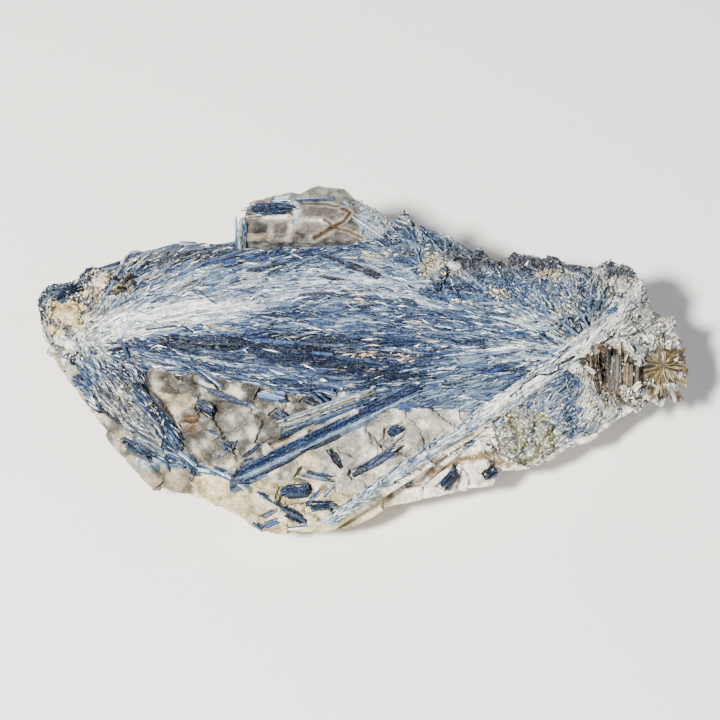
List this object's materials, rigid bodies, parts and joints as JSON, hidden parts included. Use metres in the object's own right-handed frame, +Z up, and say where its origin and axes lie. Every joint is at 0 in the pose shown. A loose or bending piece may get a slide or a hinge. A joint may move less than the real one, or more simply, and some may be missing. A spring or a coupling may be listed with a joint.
{
  "type": "kyanite blade cluster",
  "caption": "Hand specimen of cream quartz grown through with a radiating spray of long flat blue kyanite blades, with a clear quartz block at the back and a fan of brown mica at one end.",
  "frame": {"origin": "middle of the specimen's box, on the surface that it rests on", "axes": "+X along the slab towards the mica end, +Y to the back where the quartz block stands, +Z up from the underside"},
  "size_m": [0.1848, 0.0962, 0.0497],
  "materials": {
    "kyanite_blue": "pearly",
    "kyanite_dark": "glossy",
    "kyanite_pale": "pearly",
    "quartz_cream": "satin",
    "quartz_clear": "glassy",
    "quartz_druse": "glossy",
    "mica_brown": "pearly",
    "garnet_brown": "glossy"
  },
  "bodies": {
    "root": {"kyanite_spray": "kyanite_blue", "pocket_needle": "kyanite_blue", "pocket_stub": "kyanite_blue", "pocket_chip": "kyanite_blue", "pocket_splinter": "kyanite_blue", "band_blue_blade": "kyanite_blue", "band_chip": "kyanite_blue", "rim_splinter": "kyanite_blue", "rim_blade_front": "kyanite_blue", "rim_blade_right": "kyanite_blue", "rim_blade_corner": "kyanite_blue", "rim_blade_left": "kyanite_blue", "pocket_dark_blade": "kyanite_dark", "band_bar": "kyanite_dark", "rim_chunk": "kyanite_dark", "left_end_blade": "kyanite_dark", "block_cap_blade": "kyanite_dark", "block_side_blade": "kyanite_dark", "pocket_pale_blade": "kyanite_pale", "band_pale_blade": "kyanite_pale", "quartz_matrix": "quartz_cream", "white_crystal": "quartz_cream", "quartz_block": "quartz_clear", "quartz_druse": "quartz_druse", "mica_books": "mica_brown", "brown_crystal": "garnet_brown"}
  },
  "joints": []
}
